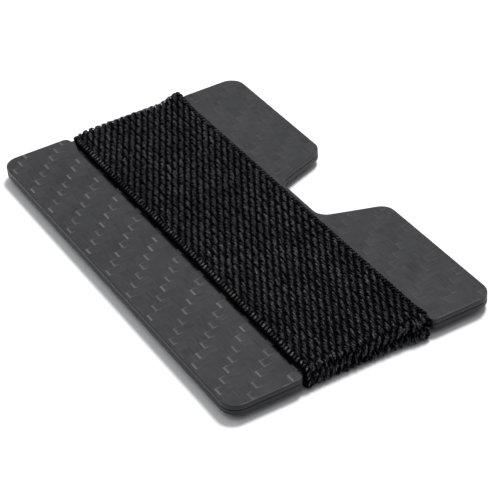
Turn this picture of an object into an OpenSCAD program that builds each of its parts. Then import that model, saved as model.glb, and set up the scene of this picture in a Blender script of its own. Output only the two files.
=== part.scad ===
// Minimalist card wallet: two rigid carbon-fibre plates, each with a thumb
// notch in one long side and a shallow recess in both short ends, held
// together by one loop of wide woven elastic that sits in the recesses.
//
// Frame: the origin is on the surface that the wallet lies on, under the
// middle of the plates. +X runs along the long side, +Y points at the side
// with the thumb notch, and +Z is up through the stack.

/* [Plates] */
// Length of each plate, along X
plate_l = 90; // [88:0.5:96]
// Width of each plate, along Y
plate_w = 54; // [54:0.5:60]
// Thickness of each plate
plate_t = 1.0; // [0.8:0.1:1.6]
// Radius of the four outer corners
plate_corner_r = 3.2; // [2:0.1:5]
// Gap between the closed plates
plate_gap = 0.1; // [0.05:0.05:0.5]

/* [Thumb notch] */
// Width of the notch at the plate's edge, between its straight sides
notch_mouth_w = 23.4; // [20:0.2:28]
// Width of the notch at its bottom, between its straight sides
notch_floor_w = 14.4; // [12:0.2:18]
// Depth of the notch from the plate's edge
notch_depth = 12.4; // [10:0.2:12.6]
// Radius that rounds all four corners of the notch
notch_r = 3.0; // [1.5:0.1:3.2]

/* [Band] */
// Width of the elastic
band_w = 25.4; // [22:0.1:25.6]
// Thickness of the elastic under tension
band_t = 1.3; // [1:0.1:1.6]
// Distance of the band's centre line from the plate's centre line, along Y
band_shift = 0.75; // [0:0.05:0.8]
// Clearance between the band and the plate's end, inside the recess
band_end_gap = 0.05; // [0.02:0.01:0.1]

/* [Band recess] */
// Depth of the recess in each short end
recess_depth = 1.5; // [1.2:0.1:2]
// Clearance beside each edge of the band in the recess
recess_side_gap = 0.3; // [0.2:0.05:0.4]
// Radius of the recess's outer corners
recess_lip_r = 1.2; // [0.6:0.1:1.2]

/* [Seam] */
// Length of band that the flat zigzag seam covers, along X
seam_l = 5; // [4:0.5:8]
// Depth that the stitching draws the band in by
seam_sink = 0.45; // [0.4:0.05:0.5]
// Thickness of the sewing thread
thread_d = 0.4; // [0.3:0.05:0.4]
// Number of zigzag stitches across the band
stitch_count = 16; // [10:2:20]

/* [Hidden] */

$fn = 48;
overlap = 0.5; // how far a cutter runs past the face that it cuts

bottom_plate_z = band_t;
top_plate_z = bottom_plate_z + plate_t + plate_gap;
top_strand_z = top_plate_z + plate_t;
stack_h = top_strand_z + band_t;

strand_half_l = plate_l / 2 - recess_depth + band_end_gap;
recess_w = band_w + 2 * recess_side_gap;

notch_flare = atan((notch_mouth_w - notch_floor_w) / (2 * notch_depth));
stitch_margin = 0.9;
stitch_pitch = (band_w - 2 * stitch_margin) / stitch_count;

carbon = [0.13, 0.13, 0.135];
elastic = [0.03, 0.03, 0.035];
thread = [0.06, 0.06, 0.065];

// Rounded rectangle, centred on the origin
module rounded_rectangle(l, w, r) {
    square([l - 2 * r, w], center = true);
    square([l, w - 2 * r], center = true);
    for (x = [-1, 1], y = [-1, 1])
        translate([x * (l / 2 - r), y * (w / 2 - r)]) circle(r);
}

function heading(angle) = [cos(angle), sin(angle)];

// The arc of radius r that rounds a corner at the point p, whose sides leave
// along the headings a and b (degrees): where the arc meets the first side,
// the arc's centre, and where it meets the second side
function corner_arc(p, a, b, r) = let (half = abs(b - a) / 2) [
    p + r / tan(half) * heading(a),
    p + r / sin(half) * heading((a + b) / 2),
    p + r / tan(half) * heading(b)
];

function mirrored(points) = [
    for (i = [len(points) - 1 : -1 : 0]) [-points[i][0], points[i][1]]
];

// Thumb notch, cut from the long side at +Y: a trapezoid whose floor corners
// are rounded, as are the plate's own corners beside the mouth
module notch_outline() {
    edge_y = plate_w / 2;
    floor_y = edge_y - notch_depth;
    floor_arc = corner_arc([notch_floor_w / 2, floor_y], 180, 90 - notch_flare, notch_r);
    mouth_arc = corner_arc([notch_mouth_w / 2, edge_y], -90 - notch_flare, 0, notch_r);
    right_side = concat(floor_arc, mouth_arc, [[mouth_arc[2][0], edge_y + overlap]]);
    difference() {
        union() {
            polygon(concat(right_side, mirrored(right_side)));
            for (side = [-1, 1])
                translate([side * floor_arc[1][0], floor_arc[1][1]]) circle(notch_r);
        }
        for (side = [-1, 1])
            translate([side * mouth_arc[1][0], mouth_arc[1][1]]) circle(notch_r);
    }
}

// Recess for the band, cut from the short end at +X
module recess_outline() {
    end_x = plate_l / 2;
    floor_x = end_x - recess_depth;
    high_y = band_shift + recess_w / 2;
    low_y = band_shift - recess_w / 2;
    high_arc = corner_arc([end_x, high_y], 90, 180, recess_lip_r);
    low_arc = corner_arc([end_x, low_y], 180, 270, recess_lip_r);
    difference() {
        polygon(concat(
            [[floor_x, low_y]], low_arc,
            [[end_x + overlap, low_arc[2][1]], [end_x + overlap, high_arc[0][1]]],
            high_arc, [[floor_x, high_y]]
        ));
        translate(high_arc[1]) circle(recess_lip_r);
        translate(low_arc[1]) circle(recess_lip_r);
    }
}

module plate() {
    linear_extrude(plate_t) difference() {
        rounded_rectangle(plate_l, plate_w, plate_corner_r);
        notch_outline();
        recess_outline();
        mirror([1, 0]) recess_outline();
    }
}

// Carbon-fibre plate that the wallet lies on
module bottom_plate() {
    color(carbon) translate([0, 0, bottom_plate_z]) plate();
}

// Carbon-fibre plate on top, the same shape
module top_plate() {
    color(carbon) translate([0, 0, top_plate_z]) plate();
}

// One flat stretch of the band, from one end of the plates to the other
module strand() {
    translate([-strand_half_l, band_shift - band_w / 2, 0])
        cube([2 * strand_half_l, band_w, band_t]);
}

// Stretch of the band under the plates. The flat seam that closes the loop
// is drawn into its underside, where the thread lies.
module band_bottom_strand() {
    color(elastic) difference() {
        strand();
        translate([-seam_l / 2 - thread_d, band_shift - band_w / 2 - overlap, -overlap])
            cube([seam_l + 2 * thread_d, band_w + 2 * overlap, seam_sink + overlap]);
    }
}

// Stretch of the band over the plates
module band_top_strand() {
    color(elastic) translate([0, 0, top_strand_z]) strand();
}

// Profile of the band where it turns round the plates' end, in X and Z
module end_profile() {
    translate([0, band_t]) square([band_t, stack_h - 2 * band_t]);
    intersection() {
        translate([0, band_t]) circle(band_t);
        square([band_t, band_t]);
    }
    intersection() {
        translate([0, stack_h - band_t]) circle(band_t);
        translate([0, stack_h - band_t]) square([band_t, band_t]);
    }
}

// Turn of the band round the end at +X: it stretches as the plates part
module band_end_right() {
    color(elastic)
        translate([strand_half_l, band_shift + band_w / 2, 0])
            rotate([90, 0, 0])
                linear_extrude(band_w) end_profile();
}

// Turn of the band round the end at -X
module band_end_left() {
    mirror([1, 0, 0]) band_end_right();
}

// Corners of the zigzag, from one edge of the band to the other
function zigzag_point(i) = [
    (i % 2 == 0 ? -1 : 1) * seam_l / 2,
    band_shift - band_w / 2 + stitch_margin + i * stitch_pitch
];

// Sewing thread that joins the two ends of the elastic. Each bend of the
// zigzag is cut off square, where the thread goes down into the elastic.
module band_seam_thread() {
    half_thread_x = thread_d / 2 / sin(atan(stitch_pitch / seam_l));
    color(thread) translate([0, 0, seam_sink - thread_d])
        linear_extrude(thread_d) intersection() {
            polygon(concat(
                [for (i = [0 : stitch_count]) zigzag_point(i) + [half_thread_x, 0]],
                [for (i = [stitch_count : -1 : 0]) zigzag_point(i) - [half_thread_x, 0]]
            ));
            translate([0, band_shift])
                square([seam_l + thread_d, band_w], center = true);
        }
}

bottom_plate();
top_plate();
band_bottom_strand();
band_top_strand();
band_end_left();
band_end_right();
band_seam_thread();
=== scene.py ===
"""Minimalist card wallet: carbon-fibre plates held together by a wide woven elastic.

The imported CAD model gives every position. This script adds the looks: plates with eased edges and a
twill laminate, and the elastic as real yarns woven over a ground strip.
"""

import math
import random

import bpy
from mathutils import Matrix, Vector


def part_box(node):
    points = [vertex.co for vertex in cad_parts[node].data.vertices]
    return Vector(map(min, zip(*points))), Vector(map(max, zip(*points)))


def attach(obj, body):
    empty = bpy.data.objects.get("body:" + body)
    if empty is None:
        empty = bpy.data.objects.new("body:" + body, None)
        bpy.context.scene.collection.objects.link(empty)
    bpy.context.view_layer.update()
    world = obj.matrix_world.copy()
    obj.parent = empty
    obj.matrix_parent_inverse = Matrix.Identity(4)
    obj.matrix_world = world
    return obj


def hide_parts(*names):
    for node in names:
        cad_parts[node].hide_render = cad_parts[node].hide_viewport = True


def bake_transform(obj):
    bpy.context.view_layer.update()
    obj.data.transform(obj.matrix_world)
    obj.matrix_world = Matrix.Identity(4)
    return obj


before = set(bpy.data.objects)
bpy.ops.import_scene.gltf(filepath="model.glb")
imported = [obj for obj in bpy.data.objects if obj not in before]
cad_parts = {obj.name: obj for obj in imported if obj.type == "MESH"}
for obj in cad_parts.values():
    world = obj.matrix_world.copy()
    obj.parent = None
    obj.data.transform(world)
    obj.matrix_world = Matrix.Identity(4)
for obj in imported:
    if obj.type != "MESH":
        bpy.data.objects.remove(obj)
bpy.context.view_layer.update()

MM = 0.001

# ---------------------------------------------------------------------------
# Driving dimensions, in millimetres
# ---------------------------------------------------------------------------
PLATE_CORNER_R = 3.2        # corner radius of the plates' outline
OUTER_EASE = 0.12           # radius that eases a plate's outer edges
INNER_EASE = 0.06           # and the edges that face the other plate
FLAT_RING = 0.12            # width of the ring that keeps the plates' faces flat beside the easing
NOTCH_MOUTH_W = 23.4        # the thumb notch, with its straight sides extended to the edge
NOTCH_FLOOR_W = 14.4
NOTCH_DEPTH = 12.4
NOTCH_R = 3.0
RECESS_DEPTH = 1.5          # the recess that the band sits in at each short end
RECESS_SIDE_GAP = 0.3       # between the recess's side and the band's edge
RECESS_LIP_R = 1.2
RECESS_FLOOR_R = 0.3
TOW_X = 2.0                 # pitch of the carbon tows across X and across Y
TOW_Y = 1.97
TOW_ORIGIN = (0.72, 1.19)   # a corner where four crossings of tows meet

BAND_COLUMNS = 16           # ribs side by side across the band
BAND_COLUMN = 1.462         # pitch of the ribs' columns across the band
COLUMN_SHIFT = 0.14         # each column's floats start this much before its neighbour's
YARNS_PER_COLUMN = 3
YARN_PITCH = 0.41           # pitch of the yarns inside one column
YARN_HALF_W = 0.265         # half the width and half the thickness of a yarn on the face
YARN_HALF_T = 0.18
WEFT_LEVEL = 0.82           # height of a yarn where it passes the weft
DEEP_LEVEL = 0.50           # and in the middle of its dive under the weft
FLOAT_REPEATS = 73          # floats of one yarn round the whole loop
FLOAT_SHARE = 0.54          # share of a repeat in which a yarn lies on the face
MIDDLE_EXTRA = 0.16         # the middle yarn of a column has longer floats
FLOAT_STAGGER = 0.29        # how much later, in repeats, each yarn of a column comes to the face
FLOAT_SLANT = 0.20          # how far a float leads across the band from its start to its end
RINGS_PER_REPEAT = 9
YARN_SIDES = 4
FURROW_PAINTED_SHADOW = 0.7          # painted shadow: tone of the column that lies in a furrow beside the swollen edge
FAR_FLATTENING = 0.65       # the yarns lie flatter where the band is pulled round the far end
YARN_WANDER = 0.07          # a yarn is bulked: from ring to ring it strays this far to each side,
YARN_KNOBS = 0.23           # its width changes by up to this share,
YARN_GLINTS = 0.40          # and its brightness by up to this share, as painted glints
BODY_SHADE = 0.58           # painted shade on a yarn's body and painted highlight on the crest of its float
CREST_HIGHLIGHT = 0.30
LOOSE_STAGGER = 0.09        # on the +X end the yarns are loose: their stagger is smaller by this,
LOOSE_SLIP = 1.1            # their floats slip further by this share,
LOOSE_ROUGH = 0.9           # are rougher by this share,
END_PAINTED_LIGHT = 0.4           # and are painted paler by this share, as painted light

CORE_LOW = 0.04             # heights of the lower and the upper side of the strip under the yarns
CORE_HIGH = 0.68
CORE_INSET = 0.22           # from the band's edge to that strip's
PICK_RIPPLE = 0.05          # height of the ripple that the weft's picks make in it
SELVEDGE_TURNS = 198        # turns of the weft round each edge
SELVEDGE_R = 0.20
SELVEDGE_SIDES = 5
SELVEDGE_LEAN = 0.85        # how far a turn runs back along the band for each mm that it goes inwards
SELVEDGE_FLATNESS = 1.4     # how much wider than high a turn's section is
EDGE_SWELL = 0.40           # how far the edge nearer -Y swells over the plate between the recesses
LEFT_BULGE = 0.95           # how far the edge nearer +Y rides up at the -X end and the +X end
RIGHT_BULGE = 0.55
DRAWN_IN = 0.60             # how much thinner the band is at the -X end's corner nearer -Y
CORNER_SHIFT = 0.35         # and how far that corner is shifted towards +Y
FOOT_BULGE = 0.55           # how far the fold at the foot of the +X end stands out
FOOT_CORNER_BULGE = 0.85    # and how much further at its corner nearer +Y
FOOT_CORNER_SHIFT = 0.55    # and how far that corner is drawn in along Y
THINNEST = 0.03             # nothing of the band comes closer to the plates than this

SEAM_HALF = 2.9             # half the length of the pressed strip under the seam
SEAM_SINK = 0.45            # how deep it is pressed
JOINT_SINK = 0.45           # and how much deeper the line is where the two cut ends meet
SEAM_STITCHES = 16
STITCH_POINTS = 34
NEEDLE_DIVE = 0.34          # how far a stitch dives into the band at its ends
THREAD_R = 0.2
PLY_SHARE = 0.56            # radius of one of the thread's two plies, as a share of the thread's
PLY_SIDES = 7
PLY_TWIST = 1.25            # length of thread in which its plies turn once round each other


def node_box(name):
    """Lowest and highest corner of a CAD node, in millimetres."""
    low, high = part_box(name)
    return low / MM, high / MM


bottom_low, bottom_high = node_box("bottom_plate")
top_low, top_high = node_box("top_plate")
strand_low, strand_high = node_box("band_top_strand")

BAND_MID_Y = (strand_low.y + strand_high.y) / 2
BAND_W = strand_high.y - strand_low.y
BAND_T = strand_high.z - strand_low.z
BAND_LOW_Y = BAND_MID_Y - BAND_W / 2
BAND_HIGH_Y = BAND_MID_Y + BAND_W / 2
TURN_X = strand_high.x      # where the band starts to turn round the plates' end
STACK_LOW = bottom_low.z
STACK_HIGH = top_high.z


# ---------------------------------------------------------------------------
# Material helpers
# ---------------------------------------------------------------------------
def new_material(name):
    material = bpy.data.materials.new(name)
    material.use_nodes = True
    tree = material.node_tree
    tree.nodes.clear()
    output = tree.nodes.new("ShaderNodeOutputMaterial")
    shader = tree.nodes.new("ShaderNodeBsdfPrincipled")
    tree.links.new(shader.outputs["BSDF"], output.inputs["Surface"])
    return material, tree, shader


class Nodes:
    """Short names for the shader nodes that the materials share."""

    def __init__(self, tree):
        self.tree = tree

    def add(self, kind, **settings):
        node = self.tree.nodes.new(kind)
        for key, value in settings.items():
            setattr(node, key, value)
        return node

    def link(self, source, target):
        self.tree.links.new(source, target)

    def feed(self, target, value):
        if isinstance(value, (int, float)):
            target.default_value = value
        else:
            self.link(value, target)

    def math(self, operation, a, b=0.0, c=0.0):
        node = self.add("ShaderNodeMath", operation=operation)
        for target, value in zip(node.inputs, (a, b, c)):
            self.feed(target, value)
        return node.outputs[0]

    def smooth(self, value, low, high, at_low=0.0, at_high=1.0):
        """at_low below low, at_high above high, smooth between; low may be above high."""
        node = self.add("ShaderNodeMapRange", interpolation_type="SMOOTHSTEP")
        self.feed(node.inputs["Value"], value)
        node.inputs["From Min"].default_value = low
        node.inputs["From Max"].default_value = high
        node.inputs["To Min"].default_value = at_low
        node.inputs["To Max"].default_value = at_high
        return node.outputs["Result"]

    def mix(self, share, a, b):
        node = self.add("ShaderNodeMix", data_type="FLOAT")
        self.feed(node.inputs["Factor"], share)
        self.feed(node.inputs[2], a)
        self.feed(node.inputs[3], b)
        return node.outputs[0]

    def colour(self, share, a, b):
        node = self.add("ShaderNodeMix", data_type="RGBA")
        self.feed(node.inputs["Factor"], share)
        for target, value in ((node.inputs[6], a), (node.inputs[7], b)):
            if isinstance(value, tuple):
                target.default_value = value
            else:
                self.link(value, target)
        return node.outputs[2]

    def place(self):
        return self.add("ShaderNodeTexCoord").outputs["Object"]

    def split(self, vector):
        node = self.add("ShaderNodeSeparateXYZ")
        self.link(vector, node.inputs[0])
        return node.outputs

    def vector(self, x, y, z=0.0):
        node = self.add("ShaderNodeCombineXYZ")
        for target, value in zip(node.inputs, (x, y, z)):
            self.feed(target, value)
        return node.outputs[0]

    def noise(self, vector, scale, detail=2.0):
        node = self.add("ShaderNodeTexNoise")
        self.link(vector, node.inputs["Vector"])
        node.inputs["Scale"].default_value = scale
        node.inputs["Detail"].default_value = detail
        return node.outputs["Fac"]

    def bump(self, height, strength, distance):
        node = self.add("ShaderNodeBump")
        self.link(height, node.inputs["Height"])
        node.inputs["Strength"].default_value = strength
        node.inputs["Distance"].default_value = distance
        return node.outputs["Normal"]


# ---------------------------------------------------------------------------
# Camera, floor and light
# ---------------------------------------------------------------------------
# the camera was fitted to the plates' outline in the photo; degrees and millimetres
CAMERA_AZIMUTH = 61.958
CAMERA_ELEVATION = 36.582
CAMERA_ROLL = -4.513
CAMERA_DISTANCE = 345.98
CAMERA_TARGET = (8.842, -1.518)
CAMERA_LENS = 136.0
CAMERA_SENSOR = 36
SKY_HORIZON = 0.12          # strength of the sky at the horizon and overhead
SKY_ZENITH = 0.95
SKY_FAR_SIDE = 0.25         # share of it that is left on the +X side
SOFTBOX_PLACE = (-0.22, 0.38, 0.95)     # in metres
SOFTBOX_SIZE = 0.28         # in metres
SOFTBOX_POWER = 10.0        # in watts
FLOOR_HALF = 1.5            # in metres
FLOOR_DROP = 0.02           # from the wallet's lowest face down to the floor, in millimetres


def add_camera():
    azimuth, elevation, roll = (
        math.radians(a) for a in (CAMERA_AZIMUTH, CAMERA_ELEVATION, CAMERA_ROLL)
    )
    back = Vector((
        math.sin(azimuth) * math.cos(elevation),
        -math.cos(azimuth) * math.cos(elevation),
        math.sin(elevation),
    ))
    right = Vector((0, 0, 1)).cross(back).normalized()
    up = back.cross(right)
    rolled_right = right * math.cos(roll) + up * math.sin(roll)
    rolled_up = up * math.cos(roll) - right * math.sin(roll)
    target = Vector((CAMERA_TARGET[0], CAMERA_TARGET[1], STACK_HIGH)) * MM
    place = target + back * (CAMERA_DISTANCE * MM)
    data = bpy.data.cameras.new("camera")
    data.lens = CAMERA_LENS
    data.sensor_width = CAMERA_SENSOR
    data.clip_start = 0.01
    camera = bpy.data.objects.new("camera", data)
    camera.matrix_world = Matrix((
        (rolled_right.x, rolled_up.x, back.x, place.x),
        (rolled_right.y, rolled_up.y, back.y, place.y),
        (rolled_right.z, rolled_up.z, back.z, place.z),
        (0, 0, 0, 1),
    ))
    bpy.context.scene.collection.objects.link(camera)
    bpy.context.scene.camera = camera


def add_floor():
    material, _, shader = new_material("pale_floor")
    shader.inputs["Base Color"].default_value = (0.9, 0.9, 0.9, 1)
    shader.inputs["Roughness"].default_value = 0.9
    shader.inputs["Specular IOR Level"].default_value = 0.1
    mesh = bpy.data.meshes.new("floor")
    corners = [(x * FLOOR_HALF, y * FLOOR_HALF, 0) for x, y in ((-1, -1), (1, -1), (1, 1), (-1, 1))]
    mesh.from_pydata(corners, [], [(0, 1, 2, 3)])
    mesh.materials.append(material)
    floor = bpy.data.objects.new("floor", mesh)
    floor.location.z = -FLOOR_DROP * MM
    bpy.context.scene.collection.objects.link(floor)


def add_area_light(name, place, size, power):
    """A round softbox that faces the origin."""
    data = bpy.data.lights.new(name, "AREA")
    data.shape = "DISK"
    data.size = size
    data.energy = power
    light = bpy.data.objects.new(name, data)
    light.location = place
    light.rotation_euler = Vector(place).to_track_quat("Z", "Y").to_euler()
    bpy.context.scene.collection.objects.link(light)


def add_light():
    """A sky that is pale overhead, greyer at the horizon and dim on the +X side, and one softbox."""
    world = bpy.data.worlds.new("studio")
    world.use_nodes = True
    n = Nodes(world.node_tree)
    background = world.node_tree.nodes["Background"]
    x, _, z = n.split(n.add("ShaderNodeTexCoord").outputs["Generated"])
    overhead = n.smooth(z, 0.0, 0.9, SKY_HORIZON, SKY_ZENITH)
    side = n.smooth(x, 0.85, -0.10, SKY_FAR_SIDE)
    n.link(n.math("MULTIPLY", overhead, side), background.inputs["Strength"])
    background.inputs["Color"].default_value = (0.965, 0.97, 1.0, 1)
    bpy.context.scene.world = world
    add_area_light("overhead_softbox", SOFTBOX_PLACE, SOFTBOX_SIZE, SOFTBOX_POWER)
    bpy.context.scene.view_settings.view_transform = "Standard"


# ---------------------------------------------------------------------------
# Mesh helpers
# ---------------------------------------------------------------------------
def make_piece(name, points, faces, material, slots=None, edge_material=None, shades=None):
    """A smooth-shaded mesh object from points in millimetres.

    shades, one value of painted shade and highlight for each point, go into the attribute "shade" for the
    material to read.
    """
    mesh = bpy.data.meshes.new(name)
    mesh.from_pydata([(x * MM, y * MM, z * MM) for x, y, z in points], [], faces)
    mesh.materials.append(material)
    if edge_material:
        mesh.materials.append(edge_material)
        mesh.polygons.foreach_set("material_index", slots)
    mesh.polygons.foreach_set("use_smooth", [True] * len(mesh.polygons))
    if shades:
        mesh.attributes.new("shade", "FLOAT", "POINT").data.foreach_set("value", shades)
    mesh.update()
    piece = bpy.data.objects.new(name, mesh)
    bpy.context.scene.collection.objects.link(piece)
    return piece


def rounded_outline(corners, step=12.0):
    """(point, outward normal) pairs round a closed path of (x, y, radius) corners, counter-clockwise.

    Each arc has a point every step degrees.
    """
    outline = []
    count = len(corners)
    for i, (x, y, radius) in enumerate(corners):
        here = Vector((x, y))
        before = Vector(corners[i - 1][:2])
        after = Vector(corners[(i + 1) % count][:2])
        come = (here - before).normalized()
        go = (after - here).normalized()
        turn = math.atan2(come.x * go.y - come.y * go.x, come.dot(go))
        side = 1 if turn > 0 else -1
        reach = radius * math.tan(abs(turn) / 2)
        left = Vector((-come.y, come.x))
        centre = here - come * reach + left * (side * radius)
        start = math.atan2(-side * left.y, -side * left.x)
        pieces = max(2, round(math.degrees(abs(turn)) / step))
        for k in range(pieces + 1):
            angle = start + turn * k / pieces
            ray = Vector((math.cos(angle), math.sin(angle)))
            outline.append((centre + ray * radius, ray * side))
    return outline


def closed_tube(rings, sides):
    """Faces of a tube that closes on itself, of rings with sides points each."""
    faces = []
    for i in range(rings):
        j = (i + 1) % rings
        for k in range(sides):
            m = (k + 1) % sides
            faces.append((i * sides + k, i * sides + m, j * sides + m, j * sides + k))
    return faces


def capped_tube(rings, sides):
    """Faces of a tube with a cap at each end, of rings with sides points each."""
    faces = closed_tube(rings, sides)[: (rings - 1) * sides]
    faces.append(tuple(reversed(range(sides))))
    faces.append(tuple((rings - 1) * sides + k for k in range(sides)))
    return faces


def renumbered(faces, base):
    """The same faces for points that start at number base."""
    return [tuple(base + corner for corner in face) for face in faces]


# ---------------------------------------------------------------------------
# Carbon-fibre plates
# ---------------------------------------------------------------------------
def plate_outline():
    half_l, half_w = top_high.x, top_high.y
    recess_x = half_l - RECESS_DEPTH
    recess_half = BAND_W / 2 + RECESS_SIDE_GAP
    low_y, high_y = BAND_MID_Y - recess_half, BAND_MID_Y + recess_half
    notch_y = half_w - NOTCH_DEPTH
    right = [
        (half_l, -half_w, PLATE_CORNER_R),
        (half_l, low_y, RECESS_LIP_R),
        (recess_x, low_y, RECESS_FLOOR_R),
        (recess_x, high_y, RECESS_FLOOR_R),
        (half_l, high_y, RECESS_LIP_R),
        (half_l, half_w, PLATE_CORNER_R),
        (NOTCH_MOUTH_W / 2, half_w, NOTCH_R),
        (NOTCH_FLOOR_W / 2, notch_y, NOTCH_R),
    ]
    left = [(-x, y, r) for x, y, r in reversed(right)]
    return rounded_outline(right + left)


def add_plate(name, low_z, high_z, low_ease, high_ease, face_material, edge_material):
    """A plate with eased edges. Its cut edge has a material of its own."""
    outline = plate_outline()
    count = len(outline)
    quarter = [math.radians(a) for a in (0, 22.5, 45, 67.5, 90)]
    thickness = high_z - low_z
    rings = [(low_ease + FLAT_RING, 0.0)]
    rings += [(low_ease * (1 - math.sin(a)), low_ease * (1 - math.cos(a))) for a in quarter]
    rings += [
        (high_ease * (1 - math.sin(a)), thickness - high_ease * (1 - math.cos(a)))
        for a in reversed(quarter)
    ]
    rings += [(high_ease + FLAT_RING, thickness)]
    points, faces, slots = [], [], []
    for inset, rise in rings:
        for place, normal in outline:
            spot = place - normal * inset
            points.append((spot.x, spot.y, low_z + rise))
    for ring in range(len(rings) - 1):
        flat = ring in (0, len(rings) - 2)
        for k in range(count):
            a, b = ring * count + k, ring * count + (k + 1) % count
            faces.append((a, b, b + count, a + count))
            slots.append(0 if flat else 1)
    last = (len(rings) - 1) * count
    faces.append(tuple(reversed(range(count))))
    faces.append(tuple(range(last, last + count)))
    slots += [0, 0]
    return make_piece(name, points, faces, face_material, slots, edge_material)


# ---------------------------------------------------------------------------
# Elastic band
# ---------------------------------------------------------------------------
TURN_REF = 0.95             # height at which the loop's length is measured
STRAIGHT = 2 * TURN_X
WALL = STACK_HIGH - STACK_LOW
QUARTER = math.pi / 2 * TURN_REF
LOOP = 2 * (STRAIGHT + WALL) + 4 * QUARTER
HALF_END = WALL / 2 + QUARTER           # from the middle of an end to the straight part
END_AT = STRAIGHT / 2 + HALF_END        # middle of the +X end, along the loop
END_FADE = 0.6              # what is special about an end starts to fade this far before the turn ends


def smooth(value, low, high):
    """0 below low, 1 above high, smooth between."""
    t = min(1.0, max(0.0, (value - low) / (high - low)))
    return t * t * (3 - 2 * t)


def on_top(along):
    """1 on top of the wallet, 0 underneath, smooth down the ends."""
    low, high = WALL / 2 + 0.6 * QUARTER, WALL / 2
    if along < LOOP / 2:
        return 1 - smooth(along, END_AT - high, END_AT + low)
    return smooth(along, LOOP - END_AT - low, LOOP - END_AT + high)


def near_end(along, centre, reach):
    """1 round an end of the wallet, falling to 0 at reach past the turn."""
    away = abs(along - centre)
    away = min(away, LOOP - away)
    return 1 - smooth(away, HALF_END - END_FADE, HALF_END + reach)


def settle(along, y, height):
    """The height after the band's own irregularities.

    One edge rides up over the shoulder of the recess at each end, the other edge is drawn in, and
    the seam underneath is pressed flat.
    """
    left_end = near_end(along, LOOP - END_AT, 5.0)
    right_end = near_end(along, END_AT, 4.0)
    proud = LEFT_BULGE * left_end * smooth(y, BAND_HIGH_Y - 5.5, BAND_HIGH_Y - 0.4)
    proud += RIGHT_BULGE * right_end * smooth(y, BAND_HIGH_Y - 6.0, BAND_HIGH_Y - 0.4)
    proud *= on_top(along)
    drawn_in = DRAWN_IN * left_end * (1 - smooth(y, BAND_LOW_Y, BAND_LOW_Y + 4.0))
    seam_away = abs(along - LOOP / 2)
    pressed = SEAM_SINK * (1 - smooth(seam_away, SEAM_HALF - 0.35, SEAM_HALF))
    pressed += JOINT_SINK * (1 - smooth(seam_away, 0.05, 0.32))
    return max(height * (1 - drawn_in / BAND_T) * (1 - pressed / BAND_T), THINNEST) + proud


def loop_point(along, y, height):
    """The point at a distance along the loop, at y, and at a height above the plates' surface.

    The loop starts at the middle of the top, runs along +X, down the end, and back underneath.
    """
    s = along % LOOP
    height = settle(s, y, height)
    y += CORNER_SHIFT * near_end(s, LOOP - END_AT, 4.0) * (1 - smooth(y, BAND_LOW_Y, BAND_LOW_Y + 3.5))
    if s >= LOOP / 2:
        # the second half of the loop is the first half turned about the Y axis
        x, z = half_loop(s - LOOP / 2, height)
        return (-x, y, STACK_HIGH + STACK_LOW - z)
    x, z = half_loop(s, height)
    # the fold at the foot of the +X end is the fullest, most of all at the edge nearer +Y
    fold = smooth(x, TURN_X + 0.2, TURN_X + 1.0) * (1 - smooth(z, 0.4, 2.4))
    corner = smooth(y, BAND_HIGH_Y - 8.0, BAND_HIGH_Y)
    return (x + (FOOT_BULGE + FOOT_CORNER_BULGE * corner) * fold, y - FOOT_CORNER_SHIFT * corner * fold, z)


def half_loop(s, height):
    """X and Z for the half that starts at the middle of the top and ends at the middle underneath."""
    if s < STRAIGHT / 2:
        return s, STACK_HIGH + height
    s -= STRAIGHT / 2
    if s < QUARTER:
        angle = math.pi / 2 - s / TURN_REF
        return TURN_X + height * math.cos(angle), STACK_HIGH + height * math.sin(angle)
    s -= QUARTER
    if s < WALL:
        return TURN_X + height, STACK_HIGH - s
    s -= WALL
    if s < QUARTER:
        angle = -s / TURN_REF
        return TURN_X + height * math.cos(angle), STACK_LOW + height * math.sin(angle)
    s -= QUARTER
    return TURN_X - s, STACK_LOW - height


def float_profile(u, share):
    """How far a yarn stands up in its repeat, and how far it has swung across the band.

    It stands at 1 in the middle of a float and at -1 under the weft; share is the float's share.
    """
    if u < share:
        t = u / share
        return math.sin(math.pi * t) ** 0.6, 0.5 - t
    t = (u - share) / (1 - share)
    return -math.sin(math.pi * t), t - 0.5


def float_chances(rng):
    """What is uneven about one float: its place to the side, sinking, width, slip and brightness."""
    return (
        rng.uniform(-0.14, 0.14),
        rng.uniform(-0.26, 0.0),
        rng.uniform(0.75, 1.10),
        rng.uniform(-0.30, 0.30),
        rng.uniform(0.40, 1.0),
    )


def yarn_shade(lift, up):
    """Painted shade and highlight of a yarn where it stands at lift; up is 1 on its upper side, painted
    paler, and -1 on its lower one.
    """
    # the sides of a yarn are hidden from the light by its neighbours
    body = BODY_SHADE * smooth(lift, -1.0, 0.35) * (0.75 + 0.25 * up)
    # the filaments catch the light where the float stands highest
    crest = CREST_HIGHLIGHT * smooth(max(0.0, lift) ** 1.6 + 0.3 * up, 0.55, 1.3)
    return body + crest


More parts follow.
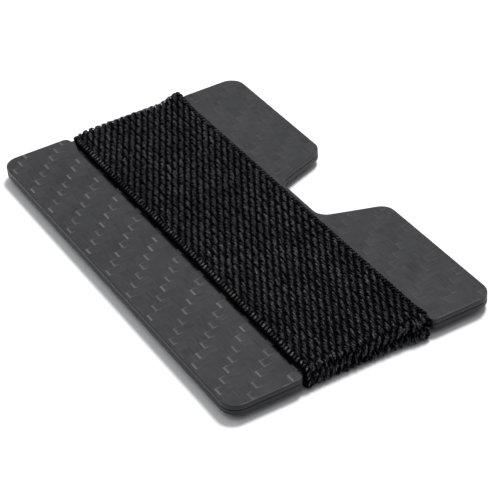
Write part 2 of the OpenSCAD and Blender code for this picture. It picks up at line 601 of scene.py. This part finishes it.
def add_warp_set(which, material):
    """Every third yarn of the band: one of the three sets that the weave lifts in turn."""
    rng = random.Random(40 + which)
    face_level = BAND_T - YARN_HALF_T
    repeat = LOOP / FLOAT_REPEATS
    share = FLOAT_SHARE + (MIDDLE_EXTRA if which == 1 else 0)
    points, faces, shades = [], [], []
    for column in range(BAND_COLUMNS):
        column_y = BAND_MID_Y + (column - (BAND_COLUMNS - 1) / 2) * BAND_COLUMN
        yarn_y = column_y + (1 - which) * YARN_PITCH
        shift = -column * COLUMN_SHIFT + which * repeat * FLOAT_STAGGER + repeat * FLOAT_SHARE / 2
        # the column beside the swollen edge gets a painted shadow
        furrow = FURROW_PAINTED_SHADOW if column == 0 else 1.0
        faces += renumbered(closed_tube(FLOAT_REPEATS * RINGS_PER_REPEAT, YARN_SIDES), len(points))
        chances = [float_chances(rng) for _ in range(FLOAT_REPEATS)]
        for station in range(FLOAT_REPEATS * RINGS_PER_REPEAT):
            cell, step = divmod(station, RINGS_PER_REPEAT)
            side, sink, wide, slip, bright = chances[cell]
            u = (step + 0.5) / RINGS_PER_REPEAT
            lift, swing = float_profile(u, share)
            ease = max(0.0, lift)
            if lift > 0:
                height = WEFT_LEVEL + (face_level - WEFT_LEVEL) * lift + sink * ease
            else:
                height = WEFT_LEVEL + (WEFT_LEVEL - DEEP_LEVEL) * lift
            along = (cell + u - share / 2) * repeat + shift + slip * ease
            far = near_end(along % LOOP, LOOP - END_AT, 1.5)
            # near leads the painted light on the +X end
            near = near_end(along % LOOP, END_AT, 0.0)
            loose = near_end(along % LOOP, END_AT, 1.5)
            height = face_level - (face_level - height) * (1 - FAR_FLATTENING * far)
            along += (LOOSE_SLIP * slip * ease - LOOSE_STAGGER * which * repeat) * loose
            rough = 1 + LOOSE_ROUGH * loose
            # each float slants towards the next one of its rib, and swings back underneath
            y = yarn_y + side * ease + FLOAT_SLANT * swing
            y += rng.uniform(-YARN_WANDER, YARN_WANDER) * rough
            knob = 0.95 + rng.uniform(-YARN_KNOBS, YARN_KNOBS) * rough
            # painted glints: each ring is made brighter or darker at random
            glint = 0.95 + rng.uniform(-YARN_GLINTS, YARN_GLINTS) * rough
            width = YARN_HALF_W * (0.70 + 0.30 * ease) * wide * knob
            thick = YARN_HALF_T * (0.80 + 0.20 * ease)
            for k in range(YARN_SIDES):
                angle = 2 * math.pi * k / YARN_SIDES + math.pi / 2
                out, up = math.cos(angle), math.sin(angle)
                points.append(loop_point(along, y + width * out, height + thick * up))
                # the yarn's painted shade and highlight, its painted glints, the furrow's painted shadow
                # and the painted light on the +X end
                shades.append(yarn_shade(lift, up) * bright * glint * furrow * (1 + END_PAINTED_LIGHT * near))
    return make_piece("band_warp_yarns_" + "abc"[which], points, faces, material, shades=shades)


def edge_swell(along):
    """How far the band's edge nearer -Y swells over the plate, between the recesses."""
    return EDGE_SWELL * (1 - max(near_end(along, END_AT, 3.0), near_end(along, LOOP - END_AT, 3.0)))


def core_profile():
    """The core's section, as (share of its half width, height) pairs, counter-clockwise."""
    shares = [-0.95, -0.9, -0.8, -0.65, -0.4, 0.0, 0.4, 0.55, 0.65, 0.75, 0.85, 0.92, 0.95]
    sides = [CORE_LOW + 0.28, 0.92]
    low = [(share, CORE_LOW) for share in [-0.985] + shares + [0.985]]
    right = [(1, height) for height in sides]
    high = [(share, CORE_HIGH) for share in reversed(shares)]
    left = [(-1, height) for height in reversed(sides)]
    return low + right + high + left


def add_core(material):
    """The core of the band: a closed strip under the yarns, rippled by the weft's picks."""
    rings_per_pick = 3
    rings = YARNS_PER_COLUMN * FLOAT_REPEATS * rings_per_pick
    half = BAND_W / 2 - CORE_INSET
    profile = core_profile()
    points = []
    for ring in range(rings):
        along = LOOP * ring / rings
        ripple = PICK_RIPPLE * math.cos(2 * math.pi * ring / rings_per_pick)
        for share, height in profile:
            y = BAND_MID_Y + share * half
            if share == -1:
                y -= edge_swell(along)
            elif share == 1:
                y -= 0.25
            points.append(loop_point(along, y, height + (ripple if height == CORE_HIGH else 0)))
    return make_piece("band_ground", points, closed_tube(rings, len(profile)), material)


def selvedge_path():
    """One turn of the weft, as (distance in from the edge, height), from below over the edge."""
    crest = BAND_T - SELVEDGE_R - 0.10
    middle = BAND_T / 2
    path = [(1.05, 0.30), (0.62, SELVEDGE_R + 0.02)]
    for step in range(6):
        angle = math.radians(-75 + 150 * step / 5)
        inward = SELVEDGE_R + 0.42 * (1 - math.cos(angle))
        path.append((inward, middle + (crest - middle) * math.sin(angle) / math.sin(math.radians(75))))
    return path + [(0.80, crest - 0.03), (1.05, crest - 0.18), (1.20, crest - 0.52)]


def add_selvedge(material):
    """The weft's turns round both edges of the band."""
    rng = random.Random(7)
    pitch = LOOP / SELVEDGE_TURNS
    path = selvedge_path()
    rings = len(path)
    points, faces, shades = [], [], []
    for edge in (-1, 1):
        for turn in range(SELVEDGE_TURNS):
            start = turn * pitch
            lean = rng.uniform(-0.07, 0.07)
            proud = rng.uniform(-0.06, 0.02)
            drop = rng.uniform(-0.08, 0.03)
            bright = rng.uniform(0.25, 1.0)
            tube = renumbered(capped_tube(rings, SELVEDGE_SIDES), len(points))
            faces += tube if edge > 0 else [face[::-1] for face in tube]
            for i, (inward, height) in enumerate(path):
                along = start - SELVEDGE_LEAN * inward + lean
                swell = edge_swell(along) * (edge < 0) * (1 - smooth(inward, 0.2, 0.6))
                y = BAND_MID_Y + edge * (BAND_W / 2 - inward + proud + swell)
                before, after = path[max(i - 1, 0)], path[min(i + 1, rings - 1)]
                direction = Vector((after[0] - before[0], after[1] - before[1])).normalized()
                rise_y, rise_h = -direction.y, direction.x
                # the edge that swells over the plate is painted in shadow, the other one is painted as in
                # the open
                tone = smooth(inward, 0.30, 0.50) if edge < 0 else 0.6
                # painted shade on each turn's outer side, halfway up the edge
                tone *= smooth(abs(height - BAND_T / 2), 0.18, 0.36) * bright
                for k in range(SELVEDGE_SIDES):
                    angle = 2 * math.pi * k / SELVEDGE_SIDES
                    swing = SELVEDGE_R * SELVEDGE_FLATNESS * math.cos(angle)
                    rise = SELVEDGE_R * math.sin(angle)
                    level = height + drop * (i / (rings - 1)) + rise * rise_h
                    points.append(loop_point(
                        along + swing, y - edge * rise * rise_y, min(max(level, 0.02), BAND_T)
                    ))
                    # painted light: each turn is paler on its upper side
                    shades.append(tone * (0.55 + 0.45 * math.sin(angle)))
    return make_piece("band_selvedge", points, faces, material, shades=shades)


def seam_track():
    """The zigzag's path in millimetres. Each stitch dives into the band at its needle holes."""
    low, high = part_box("band_seam_thread")
    left, right = low.x / MM + THREAD_R, high.x / MM - THREAD_R
    first_y = low.y / MM + THREAD_R
    pitch = (high.y / MM - low.y / MM - 2 * THREAD_R) / SEAM_STITCHES
    level = (low.z + high.z) / 2 / MM
    corners = [
        Vector((right if i % 2 else left, first_y + pitch * i, level)) for i in range(SEAM_STITCHES + 1)
    ]
    track = []
    for i, (start, end) in enumerate(zip(corners, corners[1:])):
        for k in range(STITCH_POINTS + (i == SEAM_STITCHES - 1)):
            t = k / STITCH_POINTS
            spot = start.lerp(end, t)
            spot.z = level + NEEDLE_DIVE * (1 - smooth(min(t, 1 - t), 0.0, 0.07))
            track.append(spot)
    return track


def add_seam_thread(material):
    """The zigzag of two-ply thread that joins the band's ends underneath."""
    track = seam_track()
    rings = len(track)
    ply_r = THREAD_R * PLY_SHARE
    points, faces = [], []
    for ply in range(2):
        faces += renumbered(capped_tube(rings, PLY_SIDES), len(points))
        distance = 0.0
        for i, spot in enumerate(track):
            ahead, behind = track[min(i + 1, rings - 1)], track[max(i - 1, 0)]
            way = (ahead - behind).normalized()
            if i:
                distance += (spot - track[i - 1]).length
            across = Vector((0, 0, 1)).cross(way).normalized()
            upward = way.cross(across)
            angle = 2 * math.pi * distance / PLY_TWIST + math.pi * ply
            centre = spot + (across * math.cos(angle) + upward * math.sin(angle)) * (THREAD_R - ply_r)
            for k in range(PLY_SIDES):
                swing = 2 * math.pi * k / PLY_SIDES
                point = centre + (across * math.cos(swing) + upward * math.sin(swing)) * ply_r
                points.append((point.x, point.y, max(point.z, 0.02)))
    return make_piece("seam_thread", points, faces, material)


# ---------------------------------------------------------------------------
# Materials
# ---------------------------------------------------------------------------
def carbon_face_material():
    """2/2 twill laminate under a satin coat, with painted highlights where the warp floats end."""
    material, tree, shader = new_material("carbon_twill")
    n = Nodes(tree)
    place = n.place()
    x, y, _ = n.split(place)
    # the tows waver a little
    waver = n.math("MULTIPLY", n.math("SUBTRACT", n.noise(place, 350.0), 0.5), 0.16)
    u = n.math("MULTIPLY", n.math("SUBTRACT", x, TOW_ORIGIN[0] * MM), 1 / (TOW_X * MM))
    v = n.math("MULTIPLY", n.math("SUBTRACT", y, TOW_ORIGIN[1] * MM), 1 / (TOW_Y * MM))
    u, v = n.math("ADD", u, waver), n.math("SUBTRACT", v, waver)
    column, row = n.math("FLOOR", u), n.math("FLOOR", v)
    fu, fv = n.math("SUBTRACT", u, column), n.math("SUBTRACT", v, row)
    step = n.math("FLOORED_MODULO", n.math("ADD", n.math("ADD", column, row), 1.0), 4.0)
    ends_here = n.math("COMPARE", step, 2.0, 0.25)
    warp = n.math("GREATER_THAN", step, 1.5)

    # two chance values for each crossing of tows
    cell = n.add("ShaderNodeTexWhiteNoise", noise_dimensions="2D")
    n.link(n.vector(column, row), cell.inputs["Vector"])
    chance = cell.outputs["Value"]
    other = n.math("FRACT", n.math("MULTIPLY", chance, 17.0))

    # where a warp float ends: a painted highlight, a bright dash along X whose ends curl up beside the tow
    dash = n.math("MULTIPLY", n.smooth(fv, 0.30, 0.10), n.smooth(fv, -0.02, 0.08))
    dash = n.math("MULTIPLY", dash, n.smooth(fu, 0.02, 0.10))
    dash = n.math("MULTIPLY", dash, n.smooth(fu, 0.98, 0.90))
    left = n.math("MULTIPLY", n.smooth(fu, 0.20, 0.08), n.smooth(fv, 1.0, 0.10))
    left = n.math("MULTIPLY", left, n.mix(other, 0.0, 0.50))
    right = n.math("MULTIPLY", n.smooth(fu, 0.80, 0.92), n.smooth(fv, 0.90, 0.10))
    right = n.math("MULTIPLY", right, n.mix(chance, 0.65, 0.0))
    # painted lighting: the band's far side of the plate shows the dashes' painted highlights less and the
    # tows' sides' more
    far = n.smooth(y, -4 * MM, 12 * MM)
    dash = n.math("MULTIPLY", dash, n.mix(far, n.mix(chance, 0.45, 1.1), 0.10))
    sides = n.math("MULTIPLY", n.math("MAXIMUM", left, right), n.mix(far, 1.0, 0.45))
    painted_tow_highlight = n.math("MULTIPLY", n.math("MAXIMUM", dash, sides), ends_here)

    # fibres run along X in the weft and along Y in the warp
    weft_fibre = n.noise(n.vector(n.math("MULTIPLY", x, 350.0), n.math("MULTIPLY", y, 3600.0)), 1.0)
    warp_fibre = n.noise(n.vector(n.math("MULTIPLY", x, 3600.0), n.math("MULTIPLY", y, 350.0)), 1.0)
    fibre = n.mix(warp, weft_fibre, warp_fibre)
    cloud = n.noise(place, 90.0, 3.0)

    tone = n.math("MULTIPLY", n.math("SUBTRACT", fibre, 0.5), 1.5)
    tone = n.math("ADD", tone, n.math("MULTIPLY", cloud, 0.5))
    tone = n.math("ADD", tone, n.math("MULTIPLY", chance, 0.22))
    tone = n.math("ADD", tone, n.math("MULTIPLY", warp, 0.10))
    ground = n.colour(tone, (0.0, 0.0, 0.0, 1), (0.027, 0.027, 0.029, 1))
    # the tow ends' painted highlights go over the laminate's own tone
    n.link(n.colour(painted_tow_highlight, ground, (0.090, 0.090, 0.093, 1)), shader.inputs["Base Color"])
    n.link(n.mix(cloud, 0.20, 0.27), shader.inputs["Roughness"])

    # each tow is slightly crowned
    crown_weft = n.math("SINE", n.math("MULTIPLY", fv, math.pi))
    crown_warp = n.math("SINE", n.math("MULTIPLY", fu, math.pi))
    crown = n.mix(warp, crown_weft, crown_warp)
    height = n.math("ADD", n.math("MULTIPLY", crown, 0.5), n.math("MULTIPLY", fibre, 0.5))
    n.link(n.bump(height, 0.22, 0.02 * MM), shader.inputs["Normal"])
    return material


def carbon_edge_material():
    """The machined edge of the laminate, where its plies show as faint lines."""
    material, tree, shader = new_material("carbon_cut_edge")
    n = Nodes(tree)
    place = n.place()
    x, y, z = n.split(place)
    ply = n.noise(n.vector(n.math("MULTIPLY", x, 400.0), n.math("MULTIPLY", y, 400.0),
                           n.math("MULTIPLY", z, 14000.0)), 1.0)
    grain = n.noise(place, 4000.0)
    tone = n.math("ADD", n.math("MULTIPLY", ply, 0.6), n.math("MULTIPLY", grain, 0.4))
    n.link(n.colour(tone, (0.003, 0.003, 0.0035, 1), (0.016, 0.016, 0.017, 1)),
           shader.inputs["Base Color"])
    n.link(n.mix(grain, 0.35, 0.55), shader.inputs["Roughness"])
    shader.inputs["Specular IOR Level"].default_value = 0.30
    n.link(n.bump(ply, 0.15, 0.02 * MM), shader.inputs["Normal"])
    return material


def yarn_material(name, dark, light, gloss, deep=None):
    """Black filament yarn with fine slanting filaments.

    With a colour of painted shade for deep in the weave, the piece's attribute "shade", of painted shade
    and highlight, leads from it to the yarn's own.
    """
    material, tree, shader = new_material(name)
    n = Nodes(tree)
    place = n.place()
    x, y, z = n.split(place)
    slant = n.math("ADD", n.math("MULTIPLY", x, 5000.0), n.math("MULTIPLY", y, 9000.0))
    filament = n.noise(n.vector(slant, n.math("MULTIPLY", y, 2500.0),
                                n.math("MULTIPLY", z, 6000.0)), 1.0)
    patch = n.noise(place, 3300.0, 1.0)
    cloud = n.noise(place, 120.0)
    tone = n.math("ADD", n.math("MULTIPLY", filament, 0.25), n.math("MULTIPLY", patch, 0.60))
    tone = n.math("ADD", tone, n.math("MULTIPLY", cloud, 0.15))
    colour = n.colour(n.smooth(tone, 0.42, 0.62), dark, light)
    if deep:
        shade = n.add("ShaderNodeAttribute", attribute_name="shade").outputs["Fac"]
        colour = n.colour(shade, deep, colour)
    n.link(colour, shader.inputs["Base Color"])
    n.link(n.mix(filament, 0.45, 0.65), shader.inputs["Roughness"])
    n.link(n.bump(filament, 0.5, 0.03 * MM), shader.inputs["Normal"])
    shader.inputs["Specular IOR Level"].default_value = gloss
    return material


# ---------------------------------------------------------------------------
# Assembly
# ---------------------------------------------------------------------------
add_camera()
add_floor()
add_light()

carbon_face = carbon_face_material()
carbon_edge = carbon_edge_material()
bottom_plate = add_plate(
    "carbon_plate_bottom", bottom_low.z, bottom_high.z, OUTER_EASE, INNER_EASE, carbon_face, carbon_edge
)
top_plate = add_plate(
    "carbon_plate_top", top_low.z, top_high.z, INNER_EASE, OUTER_EASE, carbon_face, carbon_edge
)
for plate, body, node in ((bottom_plate, "bottom", "bottom_plate"), (top_plate, "top", "top_plate")):
    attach(plate, body)
    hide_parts(node)

# painted shade: the deep colours stand for the parts of the weave hidden from the light
PAINTED_SHADE_BLACK = (0.0004, 0.0004, 0.0005, 1)
face_yarn = yarn_material(
    "black_yarn",
    deep=(0.0025, 0.0025, 0.003, 1), dark=(0.022, 0.022, 0.025, 1), light=(0.115, 0.112, 0.130, 1),
    gloss=0.02,
)
# the selvedge's light colour is paler still, for painted glints on the crests of its turns
selvedge_yarn = yarn_material(
    "black_selvedge",
    deep=PAINTED_SHADE_BLACK, dark=(0.016, 0.016, 0.018, 1), light=(0.170, 0.168, 0.180, 1),
    gloss=0.0,
)
# painted shade: the strip under the yarns is near black, darker than the yarns, for the shade between the
# ribs
shaded_ground_yarn = yarn_material(
    "black_ground_painted_shade", dark=(0.0010, 0.0010, 0.0011, 1), light=(0.0035, 0.0035, 0.0038, 1), gloss=0.0
)
sewing_thread = yarn_material(
    "black_thread", dark=(0.010, 0.010, 0.011, 1), light=(0.040, 0.040, 0.043, 1), gloss=0.35
)
core = add_core(shaded_ground_yarn)
warps = [add_warp_set(which, face_yarn) for which in range(YARNS_PER_COLUMN)]
selvedge = add_selvedge(selvedge_yarn)
for piece in [core, selvedge] + warps:
    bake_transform(piece)
thread = add_seam_thread(sewing_thread)
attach(thread, "bottom")
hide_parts("band_seam_thread")
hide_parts("band_top_strand", "band_bottom_strand", "band_end_left", "band_end_right")
